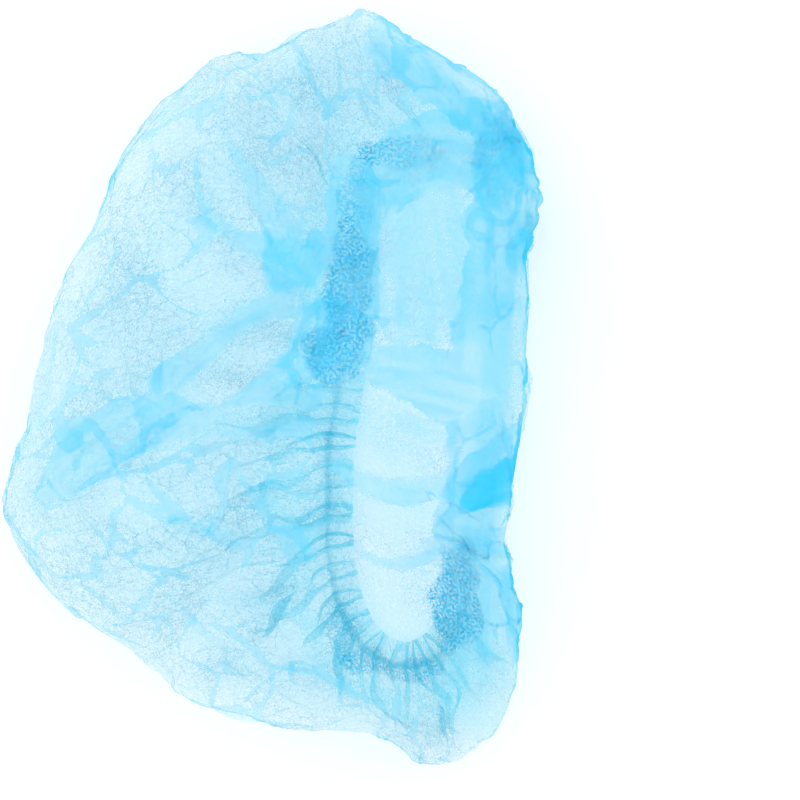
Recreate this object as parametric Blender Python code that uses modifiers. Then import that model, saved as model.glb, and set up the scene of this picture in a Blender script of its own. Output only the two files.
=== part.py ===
"""Disposable bouffant cap of spunbond cloth, opened and puffed up, resting on its gathered rim.

The cap is one sheet of cloth and one elastic cord. The sheet starts at the raw edge of the frill inside the
opening, is pinched where the elastic is sewn to it, spreads over the table in gathers, turns up at its widest
line and closes over the top. The elastic runs round under the pinch.

Frame: metres, +Z up. The origin is on the table, under the middle of the cap's outline. +Y runs along the
cap's length and +X towards the side where the opening lies.
"""

import math
from collections import namedtuple
from functools import lru_cache

import bmesh
import bpy
from mathutils import Vector

# Size of the puffed cap
CAP_LENGTH = 0.361
CAP_WIDTH = 0.257
CROWN_HEIGHT = 0.105
WIDEST_HEIGHT = 0.032

# The opening, measured along the elastic, and how far its far side lies inside the cap's outline
OPENING_LENGTH = 0.247
OPENING_WIDTH = 0.089
OPENING_INSET = 0.0135
OPENING_SHIFT = 0.010
RIM_LIFT = 0.007

# Cloth, elastic and the gap that the sewing leaves between them
CLOTH_WALL = 0.0012
ELASTIC_DIAMETER = 0.0022
SEWN_GAP = 0.0003

# Gathers, in groups of four ribs: the frill inside the elastic and the neck outside it
GATHER_GROUPS = 20
GATHER_HEIGHT = 0.0024
FRILL_WIDTH = 0.012
NECK_WIDTH = 0.016

# The sheet comes down onto the table over this width, and would sag this far below it if it could
SETTLE_WIDTH = 0.032
PRESSED_DEPTH = 0.0025

# Depth of the crown's big folds and dents
FOLD_DEPTH = 0.010
DENT_DEPTH = 0.012

# Roundness of the crown's section: 2 is an ellipse, more is fuller near the widest line
CROWN_FULLNESS = 2.3
UNDERSIDE_FLATNESS = 5.0

# The crown's highest point, as shares of half the width and half the length
APEX_X = 0.10
APEX_Y = 0.02

# One row for each section round the cap, from the peak at the head of the outline and on round its right side.
# edge_x and edge_y are shares of half the cap's width and length, and rise is a share of WIDEST_HEIGHT.
# rim_x and rim_y are shares of half the opening's width and length, and lift is a share of RIM_LIFT.
Section = namedtuple("Section", "edge_x edge_y rise rim_x rim_y lift")
SECTIONS = (
    Section(0.36, 1.00, 0.75, 0.12, 0.99, 0.3),
    Section(0.62, 0.90, 0.90, 0.46, 1.00, 0.6),
    Section(0.82, 0.80, 1.05, 0.76, 0.94, 0.9),
    Section(0.94, 0.68, 1.15, 0.94, 0.81, 1.0),
    Section(1.00, 0.53, 1.10, 1.00, 0.64, 0.8),
    Section(0.97, 0.35, 1.00, 0.99, 0.48, 0.5),
    Section(0.95, 0.20, 1.05, 0.97, 0.31, 0.4),
    Section(0.96, 0.04, 1.15, 0.96, 0.14, 0.5),
    Section(0.95, -0.11, 1.10, 0.92, -0.03, 0.8),
    Section(0.90, -0.26, 0.95, 0.84, -0.21, 1.0),
    Section(0.87, -0.38, 0.80, 0.71, -0.37, 0.8),
    Section(0.89, -0.48, 0.85, 0.59, -0.54, 0.4),
    Section(0.93, -0.60, 1.00, 0.52, -0.70, 0.1),
    Section(0.91, -0.76, 1.05, 0.42, -0.85, 0.0),
    Section(0.80, -0.93, 0.85, 0.18, -0.96, 0.0),
    Section(0.60, -1.00, 0.70, -0.18, -1.00, 0.0),
    Section(0.37, -0.93, 0.80, -0.57, -0.94, 0.0),
    Section(0.06, -0.90, 0.95, -0.82, -0.81, 0.0),
    Section(-0.29, -0.84, 0.90, -0.95, -0.65, 0.0),
    Section(-0.50, -0.71, 0.80, -1.00, -0.48, 0.0),
    Section(-0.79, -0.58, 0.85, -1.00, -0.31, 0.0),
    Section(-1.00, -0.34, 0.65, -0.98, -0.13, 0.0),
    Section(-0.93, -0.11, 0.85, -0.91, 0.03, 0.0),
    Section(-0.85, 0.14, 1.00, -0.82, 0.20, 0.1),
    Section(-0.72, 0.37, 0.95, -0.72, 0.38, 0.3),
    Section(-0.54, 0.63, 0.90, -0.72, 0.55, 0.3),
    Section(-0.27, 0.84, 0.85, -0.68, 0.72, 0.2),
    Section(-0.07, 0.89, 0.80, -0.51, 0.86, 0.1),
    Section(0.16, 0.96, 0.80, -0.20, 0.95, 0.1),
)

# One row for each big fold, as a line across the crown with the cloth higher on the line's left side.
# The ends are shares of half the cap's width and length, spread is a share of the width, depth of FOLD_DEPTH.
Fold = namedtuple("Fold", "from_x from_y to_x to_y spread depth")
FOLDS = (
    Fold(-0.80, -0.30, -0.36, -0.02, 0.10, 1.0),
    Fold(-0.38, 0.02, 0.20, 0.24, 0.09, 1.0),
    Fold(-0.20, 0.44, 0.16, 0.33, 0.08, 0.8),
    Fold(-0.18, 0.62, 0.20, 0.38, 0.08, 0.8),
    Fold(0.28, 0.74, 0.18, 0.40, 0.09, 0.9),
    Fold(-0.34, -0.08, 0.22, -0.05, 0.09, 0.8),
    Fold(-0.62, -0.36, -0.24, -0.50, 0.09, 0.7),
    Fold(-0.20, -0.50, -0.06, -0.72, 0.09, 0.7),
    Fold(0.30, 0.04, 0.92, -0.14, 0.10, 1.0),
    Fold(0.32, -0.42, 0.84, -0.38, 0.09, 0.9),
    Fold(0.74, 0.46, 0.58, 0.14, 0.09, 0.8),
    Fold(0.30, 0.52, 0.74, 0.72, 0.10, 0.7),
)
# Share of a fold's length over which it fades out past each end
FOLD_FADE = 0.25

# One row for each broad dent, or bulge where depth is negative, with its middle and spread as for a fold.
Dent = namedtuple("Dent", "x y spread depth")
DENTS = (
    Dent(-0.55, 0.26, 0.22, -0.5),
    Dent(-0.45, -0.20, 0.16, 0.6),
    Dent(0.22, 0.28, 0.15, 0.8),
    Dent(0.00, 0.66, 0.18, -0.4),
    Dent(-0.15, -0.45, 0.20, -0.6),
    Dent(0.45, -0.72, 0.20, -0.5),
    Dent(0.70, -0.28, 0.15, 1.0),
    Dent(0.62, 0.36, 0.20, -0.4),
)
# Share of the way from the widest line to the apex over which folds and dents grow to their depth
RELIEF_START = 0.5

# One row for each ring of the sheet, from the frill's raw edge to the last ring round the apex.
# reach is a share of the part of the sheet that the ring is on, gather of GATHER_HEIGHT, and around is how
# many points the ring has for each group of gathers.
Ring = namedtuple("Ring", "part reach gather around")
RINGS = (
    Ring("frill", 1.00, 1.00, 8),
    Ring("frill", 0.60, 0.85, 8),
    Ring("frill", 0.25, 0.40, 8),
    Ring("neck", 0.00, 0.20, 8),
    Ring("neck", 0.22, 0.45, 8),
    Ring("neck", 0.55, 1.00, 8),
    Ring("neck", 1.00, 0.80, 8),
    Ring("under", 0.14, 1.10, 4),
    Ring("under", 0.32, 0.45, 4),
    Ring("under", 0.44, 0.00, 4),
    Ring("under", 0.58, 0.00, 4),
    Ring("under", 0.74, 0.25, 4),
    Ring("under", 0.88, 0.40, 4),
    Ring("under", 1.00, 0.40, 4),
    Ring("top", 0.07, 0.40, 4),
    Ring("top", 0.14, 0.35, 4),
    Ring("top", 0.22, 0.25, 4),
    Ring("top", 0.31, 0.15, 4),
    Ring("top", 0.40, 0.10, 4),
    Ring("top", 0.50, 0.00, 4),
    Ring("top", 0.61, 0.00, 4),
    Ring("top", 0.72, 0.00, 2),
    Ring("top", 0.83, 0.00, 2),
    Ring("top", 0.93, 0.00, 1),
)
# Share of the frill's lift over the table that is gone at its raw edge
FRILL_DROP = 0.5

# How finely a path through the sheet is walked when distances along it are measured
PATH_STEPS = 48


def clear_scene():
    for obj in list(bpy.data.objects):
        bpy.data.objects.remove(obj, do_unlink=True)


def make_material(name, colour, roughness, alpha=1.0):
    material = bpy.data.materials.new(name)
    material.use_nodes = True
    shader = material.node_tree.nodes["Principled BSDF"]
    shader.inputs["Base Color"].default_value = (*colour, 1.0)
    shader.inputs["Roughness"].default_value = roughness
    shader.inputs["Metallic"].default_value = 0.0
    shader.inputs["Alpha"].default_value = alpha
    return material


def smooth_step(t):
    t = min(max(t, 0.0), 1.0)
    return t * t * (3.0 - 2.0 * t)


@lru_cache(maxsize=None)
def section_at(turn):
    """The section at this share of the way round, on a smooth curve through the rows."""
    where = (turn % 1.0) * len(SECTIONS)
    first = int(where)
    t = where - first
    before, start, end, after = (SECTIONS[(first + k) % len(SECTIONS)] for k in (-1, 0, 1, 2))

    def blend(a, b, c, d):
        leaving = (c - a) / 2.0
        arriving = (d - b) / 2.0
        return (
            b * (2 * t**3 - 3 * t**2 + 1)
            + leaving * (t**3 - 2 * t**2 + t)
            + c * (3 * t**2 - 2 * t**3)
            + arriving * (t**3 - t**2)
        )

    return Section(*(blend(*column) for column in zip(before, start, end, after)))


def rim_point(turn):
    """The line of the elastic, seen from above."""
    row = section_at(turn)
    middle_x = CAP_WIDTH / 2 - OPENING_INSET - OPENING_WIDTH / 2
    return Vector((
        middle_x + row.rim_x * OPENING_WIDTH / 2,
        row.rim_y * OPENING_LENGTH / 2 - OPENING_SHIFT,
        0.0,
    ))


def edge_point(turn):
    """The line where the crown is widest."""
    row = section_at(turn)
    return Vector((row.edge_x * CAP_WIDTH / 2, row.edge_y * CAP_LENGTH / 2, row.rise * WIDEST_HEIGHT))


def apex_point():
    return Vector((APEX_X * CAP_WIDTH / 2, APEX_Y * CAP_LENGTH / 2, CROWN_HEIGHT))


def rim_lift(turn):
    return max(section_at(turn).lift, 0.0) * RIM_LIFT


def height_over_elastic():
    """Height of the sheet's outer face where it is sewn over the elastic, on a rim that isn't lifted."""
    pinch = next(ring.gather for ring in RINGS if ring.part == "neck") * GATHER_HEIGHT
    return ELASTIC_DIAMETER + SEWN_GAP + pinch


def relief(point):
    """What the big folds and dents add to the crown's height at this place, seen from above."""
    height = 0.0
    for fold in FOLDS:
        start = Vector((fold.from_x * CAP_WIDTH / 2, fold.from_y * CAP_LENGTH / 2))
        end = Vector((fold.to_x * CAP_WIDTH / 2, fold.to_y * CAP_LENGTH / 2))
        line = end - start
        from_start = point.xy - start
        along = from_start.dot(line) / line.length_squared
        fade = smooth_step(1.0 + along / FOLD_FADE) * smooth_step(1.0 + (1.0 - along) / FOLD_FADE)
        across = line.cross(from_start) / line.length / (fold.spread * CAP_WIDTH)
        height += fold.depth * FOLD_DEPTH * fade * across * math.exp(0.5 - across**2)
    for dent in DENTS:
        middle = Vector((dent.x * CAP_WIDTH / 2, dent.y * CAP_LENGTH / 2))
        away = (point.xy - middle).length / (dent.spread * CAP_WIDTH)
        height -= dent.depth * DENT_DEPTH * math.exp(-(away**2))
    return height


def frill(turn, t):
    """From the elastic (t = 0) level into the opening, where the raw edge (t = 1) is down on the table."""
    step = 1.0 / (8 * GATHER_GROUPS)
    along = rim_point(turn + step) - rim_point(turn - step)
    inward = Vector((along.y, -along.x, 0.0)).normalized()
    point = rim_point(turn) + inward * FRILL_WIDTH * t
    point.z = height_over_elastic() * (1.0 - t) + GATHER_HEIGHT * t
    point.z += rim_lift(turn) * (1.0 - FRILL_DROP * t)
    return point


def underside(turn, t):
    """From the elastic (t = 0) out over the table and up to the widest line (t = 1)."""
    start = rim_point(turn)
    end = edge_point(turn)
    out = math.sin(t * math.pi / 2)
    point = start.lerp(end, out)
    still_raised = smooth_step(1.0 - out * (end - start).xy.length / SETTLE_WIDTH)
    curled_up = 1.0 - math.sqrt(max(1.0 - out**UNDERSIDE_FLATNESS, 0.0))
    point.z = (height_over_elastic() + rim_lift(turn) + PRESSED_DEPTH) * still_raised
    point.z += (end.z + PRESSED_DEPTH) * curled_up - PRESSED_DEPTH
    return point


def topside(turn, t):
    """From the widest line (t = 0) up and over to the apex (t = 1)."""
    start = edge_point(turn)
    end = apex_point()
    left = math.cos(t * math.pi / 2)
    point = start.lerp(end, 1.0 - left)
    risen = (1.0 - left**CROWN_FULLNESS) ** (1.0 / CROWN_FULLNESS)
    point.z = start.z + (end.z - start.z) * risen
    point.z += relief(point) * smooth_step(t / RELIEF_START)
    return point


@lru_cache(maxsize=None)
def walk(path, turn):
    """Points along a path through the sheet, with the distance from its start to each."""
    points = [path(turn, k / PATH_STEPS) for k in range(PATH_STEPS + 1)]
    distances = [0.0]
    for start, end in zip(points, points[1:]):
        distances.append(distances[-1] + (end - start).length)
    return points, distances


def point_along(path, turn, distance):
    points, distances = walk(path, turn)
    for k in range(1, len(points)):
        if distance <= distances[k]:
            share = (distance - distances[k - 1]) / (distances[k] - distances[k - 1])
            return points[k - 1].lerp(points[k], share)
    return points[-1].copy()


def sheet_point(ring, turn):
    """Where the ring's cloth is at this share of the way round, before it is gathered."""
    if ring.part == "frill":
        return frill(turn, ring.reach)
    if ring.part == "top":
        return point_along(topside, turn, ring.reach * walk(topside, turn)[1][-1])
    whole = walk(underside, turn)[1][-1]
    neck = min(NECK_WIDTH, whole / 2)
    if ring.part == "neck":
        return point_along(underside, turn, ring.reach * neck)
    return point_along(underside, turn, neck + ring.reach * (whole - neck))


def ring_points(index):
    """The ring's points, each raised or lowered by its gather and none of them under the table."""
    ring = RINGS[index]
    before = RINGS[max(index - 1, 0)]
    after = RINGS[min(index + 1, len(RINGS) - 1)]
    count = ring.around * GATHER_GROUPS
    points = []
    for k in range(count):
        turn = k / count
        point = sheet_point(ring, turn)
        if ring.gather:
            along = sheet_point(after, turn) - sheet_point(before, turn)
            around = sheet_point(ring, (k + 1) / count) - sheet_point(ring, (k - 1) / count)
            side = 1 if k % 2 else -1
            point += along.cross(around).normalized() * side * ring.gather * GATHER_HEIGHT
        point.z = max(point.z, 0.0)
        points.append(point)
    return points


def bridge(mesh, first, second):
    """Faces between two rings of the sheet, where the second may have half as many points as the first."""
    count = len(second)
    if len(first) == count:
        for k in range(count):
            mesh.faces.new((first[k], second[k], second[(k + 1) % count], first[(k + 1) % count]))
        return
    for k in range(count):
        start = first[2 * k]
        middle = first[2 * k + 1]
        end = first[(2 * k + 2) % len(first)]
        mesh.faces.new((start, second[k], middle))
        mesh.faces.new((middle, second[k], second[(k + 1) % count]))
        mesh.faces.new((middle, second[(k + 1) % count], end))


def build_crown(collection, material):
    """The sheet's outer face, lofted through its rings and given the cloth's thickness inwards."""
    mesh = bmesh.new()
    rings = [[mesh.verts.new(point) for point in ring_points(index)] for index in range(len(RINGS))]
    for first, second in zip(rings, rings[1:]):
        bridge(mesh, first, second)
    top = apex_point()
    top.z += relief(top)
    apex = mesh.verts.new(top)
    last = rings[-1]
    for k in range(len(last)):
        mesh.faces.new((last[k], apex, last[(k + 1) % len(last)]))
    data = bpy.data.meshes.new("crown")
    mesh.to_mesh(data)
    mesh.free()
    data.shade_smooth()
    data.materials.append(material)
    crown = bpy.data.objects.new("crown", data)
    collection.objects.link(crown)
    wall = crown.modifiers.new("cloth wall", "SOLIDIFY")
    wall.thickness = CLOTH_WALL
    wall.offset = -1.0


def build_elastic(collection, material):
    """A closed loop of round elastic under the pinched line of the sheet."""
    curve = bpy.data.curves.new("elastic_cord", "CURVE")
    curve.dimensions = "3D"
    curve.bevel_depth = ELASTIC_DIAMETER / 2
    curve.bevel_resolution = 2
    count = 4 * GATHER_GROUPS
    spline = curve.splines.new("POLY")
    spline.points.add(count - 1)
    for k, control in enumerate(spline.points):
        line = rim_point(k / count)
        control.co = (line.x, line.y, ELASTIC_DIAMETER / 2 + rim_lift(k / count), 1.0)
    spline.use_cyclic_u = True
    curve.materials.append(material)
    elastic = bpy.data.objects.new("elastic_cord", curve)
    collection.objects.link(elastic)


def build_cap():
    clear_scene()
    collection = bpy.data.collections.new("bouffant_cap")
    bpy.context.scene.collection.children.link(collection)
    cloth = make_material("spunbond polypropylene", (0.27, 0.72, 0.95), 0.85, alpha=0.6)
    covered_elastic = make_material("covered elastic", (0.80, 0.90, 0.95), 0.7)
    build_crown(collection, cloth)
    build_elastic(collection, covered_elastic)


build_cap()
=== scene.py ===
"""Looks of the puffed bouffant cap: its cloth, elastic and sewing, on white paper in soft light.

The cloth is one mesh, laid out as the flat oval sheet that a cap is cut from and then placed point by point
where the puffed cap's sheet is. Where the sheet has more cloth than there is room for, as at the elastic, the
surplus stands up in gathers. Metres, +Z up, in the same frame as the solids.
"""

import functools
import math
from collections import namedtuple

import bpy
import numpy as np
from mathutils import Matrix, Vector


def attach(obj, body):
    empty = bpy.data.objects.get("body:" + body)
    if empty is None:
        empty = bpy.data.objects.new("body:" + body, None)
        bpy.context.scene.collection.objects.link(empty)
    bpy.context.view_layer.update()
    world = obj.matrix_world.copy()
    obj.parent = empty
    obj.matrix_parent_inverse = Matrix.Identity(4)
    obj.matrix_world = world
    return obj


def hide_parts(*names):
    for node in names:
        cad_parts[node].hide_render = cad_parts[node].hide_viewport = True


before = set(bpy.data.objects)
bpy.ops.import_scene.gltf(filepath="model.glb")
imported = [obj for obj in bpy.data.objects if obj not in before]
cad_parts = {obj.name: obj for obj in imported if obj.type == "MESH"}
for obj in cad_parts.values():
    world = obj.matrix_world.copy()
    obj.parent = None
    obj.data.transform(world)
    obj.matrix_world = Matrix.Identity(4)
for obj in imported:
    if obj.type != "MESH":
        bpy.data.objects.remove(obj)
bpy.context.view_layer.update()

# Size of the puffed cap, as in its solids
CAP_LENGTH = 0.361
CAP_WIDTH = 0.257
CROWN_HEIGHT = 0.105
WIDEST_HEIGHT = 0.032
OPENING_LENGTH = 0.247
OPENING_WIDTH = 0.089
OPENING_INSET = 0.0135
OPENING_SHIFT = 0.010
RIM_LIFT = 0.007
ELASTIC_DIAMETER = 0.0022
FRILL_WIDTH = 0.012
SETTLE_WIDTH = 0.032
PRESSED_DEPTH = 0.0025
FOLD_DEPTH = 0.010
DENT_DEPTH = 0.012
CROWN_FULLNESS = 2.3
UNDERSIDE_FLATNESS = 5.0
APEX_X = 0.10
APEX_Y = 0.02
FOLD_FADE = 0.25
RELIEF_START = 0.5

# The sheet's gap to the elastic, and the share of its height that the frill loses as it droops
SEWN_GAP = 0.0005
FRILL_DROP = 0.5

# One row for each section round the cap, clockwise from the peak at the head of the outline. edge_x and
# edge_y are shares of half the cap's width and length, rise of WIDEST_HEIGHT, rim_x and rim_y of half the
# opening's width and length, and lift of RIM_LIFT.
Section = namedtuple("Section", "edge_x edge_y rise rim_x rim_y lift")
SECTIONS = (
    Section(0.36, 1.00, 0.75, 0.12, 0.99, 0.3),
    Section(0.62, 0.90, 0.90, 0.46, 1.00, 0.6),
    Section(0.82, 0.80, 1.05, 0.76, 0.94, 0.9),
    Section(0.94, 0.68, 1.15, 0.94, 0.81, 1.0),
    Section(1.00, 0.53, 1.10, 1.00, 0.64, 0.8),
    Section(0.97, 0.35, 1.00, 0.99, 0.48, 0.5),
    Section(0.95, 0.20, 1.05, 0.97, 0.31, 0.4),
    Section(0.96, 0.04, 1.15, 0.96, 0.14, 0.5),
    Section(0.95, -0.11, 1.10, 0.92, -0.03, 0.8),
    Section(0.90, -0.26, 0.95, 0.84, -0.21, 1.0),
    Section(0.87, -0.38, 0.80, 0.71, -0.37, 0.8),
    Section(0.89, -0.48, 0.85, 0.59, -0.54, 0.4),
    Section(0.93, -0.60, 1.00, 0.52, -0.70, 0.1),
    Section(0.91, -0.76, 1.05, 0.42, -0.85, 0.0),
    Section(0.80, -0.93, 0.85, 0.18, -0.96, 0.0),
    Section(0.60, -1.00, 0.70, -0.18, -1.00, 0.0),
    Section(0.37, -0.93, 0.80, -0.57, -0.94, 0.0),
    Section(0.06, -0.90, 0.95, -0.82, -0.81, 0.0),
    Section(-0.29, -0.84, 0.90, -0.95, -0.65, 0.0),
    Section(-0.50, -0.71, 0.80, -1.00, -0.48, 0.0),
    Section(-0.79, -0.58, 0.85, -1.00, -0.31, 0.0),
    Section(-1.00, -0.34, 0.65, -0.98, -0.13, 0.0),
    Section(-0.93, -0.11, 0.85, -0.91, 0.03, 0.0),
    Section(-0.85, 0.14, 1.00, -0.82, 0.20, 0.1),
    Section(-0.72, 0.37, 0.95, -0.72, 0.38, 0.3),
    Section(-0.54, 0.63, 0.90, -0.72, 0.55, 0.3),
    Section(-0.27, 0.84, 0.85, -0.68, 0.72, 0.2),
    Section(-0.07, 0.89, 0.80, -0.51, 0.86, 0.1),
    Section(0.16, 0.96, 0.80, -0.20, 0.95, 0.1),
)

# Big folds and broad dents of the crown, as in its solids
Fold = namedtuple("Fold", "from_x from_y to_x to_y spread depth")
FOLDS = (
    Fold(-0.80, -0.30, -0.36, -0.02, 0.10, 1.0),
    Fold(-0.38, 0.02, 0.20, 0.24, 0.09, 1.0),
    Fold(-0.20, 0.44, 0.16, 0.33, 0.08, 0.8),
    Fold(-0.18, 0.62, 0.20, 0.38, 0.08, 0.8),
    Fold(0.28, 0.74, 0.18, 0.40, 0.09, 0.9),
    Fold(-0.34, -0.08, 0.22, -0.05, 0.09, 0.8),
    Fold(-0.62, -0.36, -0.24, -0.50, 0.09, 0.7),
    Fold(-0.20, -0.50, -0.06, -0.72, 0.09, 0.7),
    Fold(0.30, 0.04, 0.92, -0.14, 0.10, 1.0),
    Fold(0.32, -0.42, 0.84, -0.38, 0.09, 0.9),
    Fold(0.74, 0.46, 0.58, 0.14, 0.09, 0.8),
    Fold(0.30, 0.52, 0.74, 0.72, 0.10, 0.7),
)
Dent = namedtuple("Dent", "x y spread depth")
DENTS = (
    Dent(-0.55, 0.26, 0.22, -0.5),
    Dent(-0.45, -0.20, 0.16, 0.6),
    Dent(0.22, 0.28, 0.15, 0.8),
    Dent(0.00, 0.66, 0.18, -0.4),
    Dent(-0.15, -0.45, 0.20, -0.6),
    Dent(0.45, -0.72, 0.20, -0.5),
    Dent(0.70, -0.28, 0.15, 1.0),
    Dent(0.62, 0.36, 0.20, -0.4),
)

# Something that comes in smoothly, or goes: from where, and over what breadth
Ramp = namedtuple("Ramp", "start breadth")

# Noise over places in metres: how strong it is, the size of its cells, and a seed, so that each run gives the
# same cap. Where it is ragged, finer noise lies on top.
Grain = namedtuple("Grain", "strength size seed")

# How finely the sheet is laid out: cells across the flat sheet, steps round it and in from its edge, and the
# steps along each path of its frill, underside and crown
SHEET_CELLS = 312
TURN_STEPS = 2880
LEVEL_STEPS = 260
FRILL_STEPS = 13
UNDER_STEPS = 79
CROWN_STEPS = 109

# Gathers: how many ribs the elastic's stitches make, their spacing there, how far they run before they widen,
# how fast they widen, and in how many sizes, each twice as wide as the last
RIB_COUNT = 80
RIB_SPACING = 0.0072
RIB_RUN = 0.008
RIB_WIDENING = 0.16
RIB_SIZES = 4

# The surplus of cloth that they hold, as times the straight cloth at most, and the share of it that is left
# on the crown, at the widest line, far from the elastic, and where the gathers are crushed flat
MOST_SURPLUS = 2.3
CROWN_SURPLUS = 0.12
WIDEST_SURPLUS = 0.6
WIDEST_REACH = 0.025
FAR_SURPLUS = 0.1
FAR_OUT = Ramp(0.022, 0.045)
FLAT_SURPLUS = 0.45

# They stand clear over a share of the way round, are crushed elsewhere, and end before the apex
CLEAR_STARTS = Ramp(0.39, 0.05)
CLEAR_ENDS = Ramp(0.75, 0.05)
TO_APEX = Ramp(0.75, 0.25)

# Where the underside turns into the crown, from the widest line
TURNS_OVER = Ramp(-0.027, 0.030)

# How the ribs stray as they run out, in shares of a rib: how often round the cap, over what length, how much,
# from where, how much sooner and how far apart in the noise for each size, and how uneven their heights are
STRAY_TURNS = 9.0
STRAY_LENGTH = 0.07
STRAY = 0.55
SLOW_STRAY = 0.5
SLOWER = 3
STRAY_STARTS = Ramp(0.010, 0.03)
STRAY_SOONER = 0.003
STRAY_APART = 31
UNEVEN_RIBS = 0.25
UNEVEN_SHIFT = 7
UNEVEN_ASIDE = 5

# A rib's edge as a share of its spacing, and the surplus with which it shows
RIB_EDGE = Ramp(0.24, 0.12)
RIB_SHOWS = Ramp(1.2, 0.8)

# How far ribs lean over, near the elastic and further out, and how often they flip from side to side
LEANS_OVER = Ramp(0.012, 0.033)
FULL_LEAN = math.radians(40)
FIRST_LEAN = 0.5
LEAN_FLIP = 9.0
LEAN_TURNS = 3.0
LEAN_LENGTH = 0.15
LEAN_LOST = 0.8

# The outline is calm: the share of the waves lost there, and what is added where they are crushed and at the
# peak of the head end
CALM = 0.6
CALM_CRUSHED = 0.3
CALM_PEAK = 0.4
CALM_REACH = 0.03
PEAK_REACH = 0.03

# The steepest slope of a rib before it is scaled, and how finely steepness is worked out
RIB_STEEPEST = 1.3
STEEPEST_WAVE = 2.3
STEEPNESS_STEPS = 60
PHASES = 400

# Waves with fewer turns round the cap are taken out. The ribs' feet are found within a reach, in steps, and
# then smoothed to a number of turns. Directions round the cap are measured this many steps to each side.
SLOWEST_WAVES = 7
FOOT_REACH = TURN_STEPS // 40
FOOT_STEP = 6
FOOT_WAVES = 120
SIDE_REACH = 6

# Crumple of the whole sheet: facets of three sizes and their heights, how far they are pushed about, and how
# far from the elastic they come in
Crumple = namedtuple("Crumple", "size height")
CRUMPLES = (
    Crumple(0.026, 0.0024),
    Crumple(0.013, 0.0013),
    Crumple(0.0065, 0.0006),
)
FACET_PUSH = Grain(0.012, 0.03, 51)
CRUMPLES_START = Ramp(0.0, 0.02)

# Crumples stand out past the outline, so it is drawn in, apart from the notch in its right side
OUTLINE_SLACK = 0.0028
SLACK_REACH = 0.02
NOTCH_Y = -0.38
NOTCH_REACH = 0.16
NOTCH_SLACK = 1.3
NOTCH_SIDE = 0.3

# Small folds that run over the right side scallop it
SCALLOP_DEPTH = 0.0022
SCALLOP_SPACING = 0.0105
SCALLOP_ROUNDNESS = 0.7
SCALLOP_REACH = 0.03
SCALLOPS_Y = 0.45
SCALLOPS_END = Ramp(0.075, 0.05)
SCALLOPS_SIDE = Ramp(0.7, 0.2)

# The lowest that cloth lies over the table, on average, and how much more or less it is here and there
LOWEST_CLOTH = 0.0005
LIFTS = Grain(0.0002, 0.01, 81)

# Narrow folds that branch all over the sheet: the cells between them, how far they stray, their breadth, the
# share of it that they have on average and how it varies, their height, the slope of their sides, where they
# start, and how much narrower they are where the cloth is smooth
CREASE_CELL = 0.034
CREASE_STRAY = Grain(0.012, 0.02, 53)
CREASE_BREADTH = 0.0030
BREADTH_SHARE = 0.35
BREADTH_VARIES = (Grain(0.75, 0.028, 55), Grain(0.35, 0.009, 56))
CREASE_HEIGHT = 0.0010
CREASE_SIDE = Ramp(-0.00075, 0.0015)
CREASES_START = Ramp(0.012, 0.02)
SMOOTHED_CREASE = 0.012

# How much the crushed parts roughen the sheet, how crinkled the underside may be, and how far past the widest
# line the crown starts
ROUGHNESS = Grain(0.0016, 0.0035, 71)
UNDERSIDE_CRINKLE = 0.2
CROWN_EDGE = 0.004

# Thicknesses of cloth: at the sewing, on the ladder of ribs beside it, on all ribs, in crushed parts above
# and below, where the sheet bends sharply, and in clouds all over
SEWN_REACH = 0.0015
SEWN_PILE = 0.4
LADDER_ENDS = Ramp(0.011, 0.004)
LADDER_PILE = 1.7
LADDER_GAPS = 0.75
RIB_PILE = 0.1
CRUSHED_ABOVE = 0.6
CRUSHED_BELOW = 0.4
BEND_PILE = 250
BEND_FROM = 0.0002
BEND_MOST = 0.0010
CLOUDS = (Grain(0.32, 0.045, 93), Grain(0.192, 0.018, 94))

# The ribs are hidden where much cloth lies over them: their share there, and where they go, along and across
HIDDEN_SHARE = 0.05
HIDDEN_ALONG = Ramp(-0.03, 0.06)
HIDDEN_ACROSS = Ramp(0.56, 0.1)

# How crinkled the cloth is: at least, in its crinkled patches, at the sewing, and the least and most of it
LEAST_CRINKLE = 0.35
PATCH_CRINKLE = 0.65
CRINKLED_PATCHES = (Grain(0.75, 0.024, 91), Grain(0.375, 0.011, 92))
SEWN_CRINKLE = 1.2
CRINKLE_LIMITS = (0.05, 2.5)

# Painted light on the gathers by the elastic: a brighter cyan that lifts their shade, how much of it, and how
# far from the elastic it ends
GATHER_LIGHT = 0.85
GATHER_LIGHT_ENDS = Ramp(0.015, 0.025)

# Seeds of the other noise, how many cells it has before it repeats, and where in a cell a scattered place is
STRAY_SEED = 11
SLOW_STRAY_SEED = 21
UNEVEN_SEED = 31
LEAN_SEED = 41
CREASE_SEED = 57
FACET_SEED = 61
STREAK_SEED = 151
NOISE_CELLS = 256
SCATTERED_CELLS = 64
SCATTER = (0.1, 0.9)

# Lengths are at least this where something is divided by them
TINY = 1e-9

# What is known of each point of the flat sheet: its place there, how far it is from the elastic and past the
# widest line, how much it is on a rib, and the way out of the cloth
Sheet = namedtuple("Sheet", "flat from_elastic past_widest rib normal")

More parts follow.
